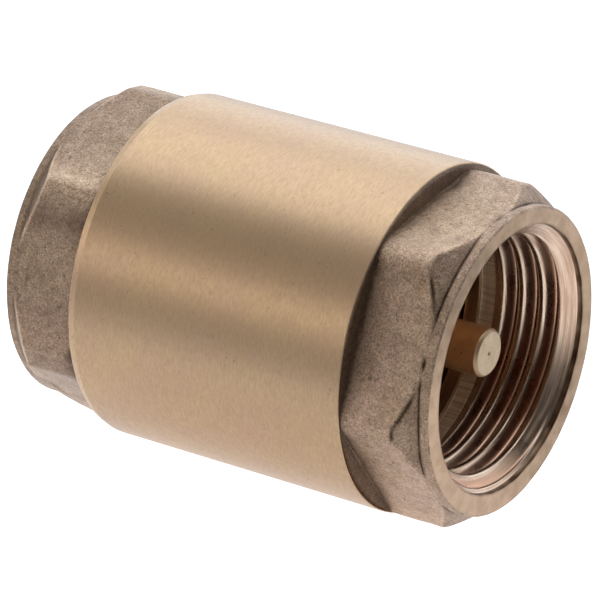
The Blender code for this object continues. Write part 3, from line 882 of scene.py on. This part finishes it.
def make_guide(golden):
    """A ring, three arms and a hub, joined into one piece."""
    ring_out_x, ring_in_x = GUIDE_RING_X, GUIDE_RING_X - GUIDE_RING_THICK
    ring_r = GUIDE_HIGH.z
    guide = ring_piece("guide_shell", [
        (ring_in_x, (GUIDE_RING_INNER_R + ring_r) / 2, 0),
        (ring_in_x, ring_r, SOFT_ROUND),
        (ring_out_x, ring_r, SOFT_ROUND),
        (ring_out_x, GUIDE_RING_INNER_R + GUIDE_EDGE, 0.06 * MM),
        (ring_out_x - GUIDE_EDGE, GUIDE_RING_INNER_R, 0.06 * MM),
        (ring_in_x, GUIDE_RING_INNER_R, SOFT_ROUND),
        (ring_in_x, (GUIDE_RING_INNER_R + ring_r) / 2 - TOUCH, 0),
    ], golden, GUIDE_STEPS)
    middle_r = (GUIDE_BORE_R + GUIDE_HUB_R) / 2
    hub = ring_piece("guide_hub", [
        (GUIDE_LOW.x, middle_r, 0),
        (GUIDE_LOW.x, GUIDE_HUB_R, 0.08 * MM),
        (GUIDE_HIGH.x - GUIDE_EDGE, GUIDE_HUB_R, SOFT_ROUND),
        (GUIDE_HIGH.x, GUIDE_HUB_R - GUIDE_EDGE, SOFT_ROUND),
        (GUIDE_HIGH.x, GUIDE_BORE_R, 0.08 * MM),
        (GUIDE_LOW.x, GUIDE_BORE_R, 0.08 * MM),
        (GUIDE_LOW.x, middle_r - TOUCH, 0),
    ], golden)
    arm_thick = GUIDE_RING_THICK - 2 * GUIDE_EDGE
    arm_start_r, arm_end_r = middle_r, (GUIDE_RING_INNER_R + ring_r) / 2
    tools = [hub]
    for number in range(GUIDE_ARMS):
        bm = bmesh.new()
        bmesh.ops.create_cube(bm, size=1.0)
        size = Matrix.Diagonal((arm_thick, arm_end_r - arm_start_r, GUIDE_ARM_WIDTH, 1))
        middle = ((ring_in_x + ring_out_x) / 2, (arm_start_r + arm_end_r) / 2, 0)
        place = Matrix.Translation(middle)
        turn = Matrix.Rotation(FIRST_ARM + number * TURN / GUIDE_ARMS, 4, "X")
        bm.transform(turn @ place @ size)
        bmesh.ops.bevel(bm, geom=bm.edges[:], offset=0.15 * MM, offset_type="OFFSET",
                        segments=3, profile=0.5, affect="EDGES")
        mesh = bpy.data.meshes.new(f"guide_arm_{number + 1}")
        bm.to_mesh(mesh)
        bm.free()
        mesh.materials.append(golden)
        arm = bpy.data.objects.new(mesh.name, mesh)
        bpy.context.scene.collection.objects.link(arm)
        tools.append(arm)
    for tool in tools:
        join = guide.modifiers.new("join", "BOOLEAN")
        join.operation = "UNION"
        join.solver = "EXACT"
        join.object = tool
    graph = bpy.context.evaluated_depsgraph_get()
    joined = bpy.data.meshes.new_from_object(guide.evaluated_get(graph))
    guide.modifiers.clear()
    guide.data = joined
    joined.shade_smooth()
    joined.set_sharp_from_angle(angle=math.radians(35))
    for tool in tools:
        bpy.data.objects.remove(tool, do_unlink=True)
    place_piece(guide, "housing", "brass_turned", "stem_guide")


def make_spring(steel):
    """A coil with one closed turn at each end."""
    turns = np.linspace(0, SPRING_TURNS, SPRING_TURNS * COIL_STEPS + 1)
    start_x, end_x = SPRING_LOW.x + SPRING_WIRE_R, SPRING_HIGH.x - SPRING_WIRE_R
    knots = (0, 1, SPRING_TURNS - 1, SPRING_TURNS)
    heights = (start_x, start_x + SPRING_CLOSED_PITCH, end_x - SPRING_CLOSED_PITCH, end_x)
    x = np.interp(turns, knots, heights)
    angle = turns * TURN
    out = np.stack([0 * angle, np.cos(angle), np.sin(angle)], -1)
    centre = np.stack([x, 0 * x, 0 * x], -1) + SPRING_R * out
    along = np.gradient(centre, axis=0)
    along /= np.linalg.norm(along, axis=1, keepdims=True)
    side = np.cross(along, out)
    t = (np.arange(WIRE_STEPS) / WIRE_STEPS * TURN)[None, :, None]
    across = np.cos(t) * out[:, None] + np.sin(t) * side[:, None]
    rings = centre[:, None] + SPRING_WIRE_R * across
    obj = mesh_object("spring_shell", rings, loft(rings, loop=False), [steel])
    place_piece(obj, "housing", "stainless_steel", "spring")
    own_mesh(obj)


# Painted shade on the shoulder and beside the hexagon's foot.
SHOULDER_SHADE = 0.60
JUNCTION_SHADE = 0.62
# Painted shade in the thread roots.
ROOT_SHADE = 0.8
# Half width of the corners' worn and highlighted marks.
WEAR_AND_HIGHLIGHT_HALF = math.radians(7)
OUTLET_END = CastEnd(
    turn=6, limit=13.78, shift=0.19, shift_angle=258,
    chamfer_grime=0.26, edge_wear_and_highlight=0.2, corner_wear=0.30, wear_and_highlight_lean=6, tarnish=0.07,
    stains=[(132, 2.5, 0.22), (52, 7, 0.2), (76, 9, 0.12), (104, 13, -0.16), (184, 7, 0.12),
            (218, 18, -0.20)],
    worn=[(66, 12, 0.20)],
    chips=[(80, 4, 1.0), (206, 5, 0.6)],
    scars=[(177, 7, 1.0), (136, 7, 0.70), (186, 2, 0.5), (200, 6, 0.3)],
    nicks=[(160, 2.2, 0.9), (95, 3, 0.5), (76, 2.5, 0.7)],
)
INLET_END = CastEnd(
    turn=180 - 18, limit=13.5, shift=0.05, shift_angle=270,
    chamfer_grime=0.22, edge_wear_and_highlight=0.75, corner_wear=0.42, wear_and_highlight_lean=-7, tarnish=0.27,
    stains=[(34, 4.5, 0.34), (344, 6, 0.22), (352, 14, 0.14)],
    crease=0.1,
)


def main():
    paints = [cast_brass(), turned_brass(), faced_brass(), threaded_brass(), chattered_brass()]
    golden, sawn = spindle_brass(), sawn_brass()
    steel, rubber = stainless_steel(), nitrile_rubber()
    make_body(paints)
    make_connector(paints)
    make_o_ring(rubber)
    make_guide(golden)
    make_spring(steel)
    make_spindle(golden, sawn)
    make_disc(golden)
    make_seal(rubber)
    make_washer(golden)
    make_nut(steel)


# ------------------------------------------------------------ studio and camera

FLOOR_HALF = 2.0
FLOOR_GLOW = 0.60
GLOW_CENTRE = (-10 * MM, 35 * MM)
GLOW_FULL_R = 66 * MM
GLOW_END_R = 120 * MM
UNDER_GLOW = 0.40               # more right under the valve, where it shades the floor
UNDER_FULL_Y = 6 * MM
UNDER_END_Y = 26 * MM
FLOOR_GLOW_COLOUR = (0.97, 1.0, 1.06, 1)
COOL = (1.0, 1.12, 1.26)
ROOM = 0.43
OUTLET_DARK = 0.05              # the room beyond the outlet
DARK_FROM, DARK_TO = 0.35, 0.75     # of a direction's X, over which the room darkens

TARGET = Vector((0.55 * MM, 0, 0))
CAMERA_AZIMUTH = math.radians(33.01)
CAMERA_ELEVATION = math.radians(25.83)
CAMERA_DISTANCE = 395.4 * MM
CLIP_START = 10 * MM
LENS = 302.4
SENSOR_WIDTH = 36
SHIFT = (-0.00798, 0.00217)


def make_camera():
    data = bpy.data.cameras.new("camera")
    data.lens = LENS
    data.sensor_width = SENSOR_WIDTH
    data.shift_x, data.shift_y = SHIFT
    data.clip_start = CLIP_START
    camera = bpy.data.objects.new("camera", data)
    level = math.cos(CAMERA_ELEVATION)
    back = Vector((math.sin(CAMERA_AZIMUTH) * level, -math.cos(CAMERA_AZIMUTH) * level,
                   math.sin(CAMERA_ELEVATION)))
    camera.location = TARGET + back * CAMERA_DISTANCE
    camera.rotation_mode = "QUATERNION"
    camera.rotation_quaternion = (-back).to_track_quat("-Z", "Y")
    bpy.context.scene.collection.objects.link(camera)
    bpy.context.scene.camera = camera


def make_floor():
    """White paper on a light table, brightest under the valve."""
    mesh = bpy.data.meshes.new("floor")
    z = CAD_BOX[0].z
    corners = [(-1, -1), (1, -1), (1, 1), (-1, 1)]
    mesh.from_pydata([(FLOOR_HALF * x, FLOOR_HALF * y, z) for x, y in corners], [], [(0, 1, 2, 3)])
    floor = bpy.data.objects.new("floor", mesh)
    bpy.context.scene.collection.objects.link(floor)
    p = Paint("floor")
    paper = p.noise(0.4, 2.0, 0.5)
    colour = p.mix(p.ramp(paper, 0.3, 0.7), (0.62, 0.62, 0.62), (0.60, 0.60, 0.60))
    away = p.node("ShaderNodeVectorMath", operation="DISTANCE")
    p.put(away.inputs[0], p.where)
    away.inputs[1].default_value = (*GLOW_CENTRE, z)
    glow = p.ramp(away.outputs["Value"], GLOW_FULL_R, GLOW_END_R, FLOOR_GLOW, 0.0)
    place = p.node("ShaderNodeSeparateXYZ")
    p.put(place.inputs["Vector"], p.where)
    across = p.math("ABSOLUTE", place.outputs["Y"])
    under = p.ramp(across, UNDER_FULL_Y, UNDER_END_Y, UNDER_GLOW, 0.0)
    p.shader.inputs["Emission Color"].default_value = FLOOR_GLOW_COLOUR
    p.put(p.shader.inputs["Emission Strength"], p.math("ADD", glow, under))
    floor.data.materials.append(p.done(colour, 0.9, None, metallic=0.0))


def soft_light(name, place, aim, width, height, radiance, colour=(1, 1, 1)):
    data = bpy.data.lights.new(name, "AREA")
    data.shape = "RECTANGLE"
    data.size, data.size_y = width, height
    data.energy = radiance * math.pi * width * height
    data.color = colour
    lamp = bpy.data.objects.new(name, data)
    lamp.location = place
    lamp.rotation_mode = "QUATERNION"
    lamp.rotation_quaternion = (Vector(aim) - Vector(place)).to_track_quat("-Z", "Y")
    bpy.context.scene.collection.objects.link(lamp)


def make_studio():
    world = bpy.data.worlds.new("studio")
    bpy.context.scene.world = world
    world.use_nodes = True
    tree = world.node_tree
    direction = tree.nodes.new("ShaderNodeTexCoord").outputs["Generated"]
    split = tree.nodes.new("ShaderNodeSeparateXYZ")
    tree.links.new(direction, split.inputs["Vector"])
    fade = tree.nodes.new("ShaderNodeMapRange")
    fade.interpolation_type = "SMOOTHSTEP"
    tree.links.new(split.outputs["X"], fade.inputs["Value"])
    fade.inputs["From Min"].default_value = DARK_FROM
    fade.inputs["From Max"].default_value = DARK_TO
    fade.inputs["To Min"].default_value = ROOM
    fade.inputs["To Max"].default_value = OUTLET_DARK
    tree.links.new(fade.outputs["Result"], tree.nodes["Background"].inputs["Color"])
    soft_light("overhead", (-0.26, 0.19, 0.45), (-0.26, 0.19, 0), 1.28, 0.52, 1.46, COOL)
    soft_light("backdrop", (0.0, 0.62, 0.24), (0, 0.1, 0.1), 1.6, 0.50, 1.32, COOL)
    soft_light("front_fill", (-0.35, -0.58, 0.23), (0, 0, 0), 0.9, 0.20, 1.10)
    soft_light("inlet_card", (-0.63, -0.27, 0.155), (0, 0, 0), 0.45, 0.30, 0.9)
    bpy.context.scene.view_settings.view_transform = "Standard"


make_camera()
make_floor()
make_studio()
main()
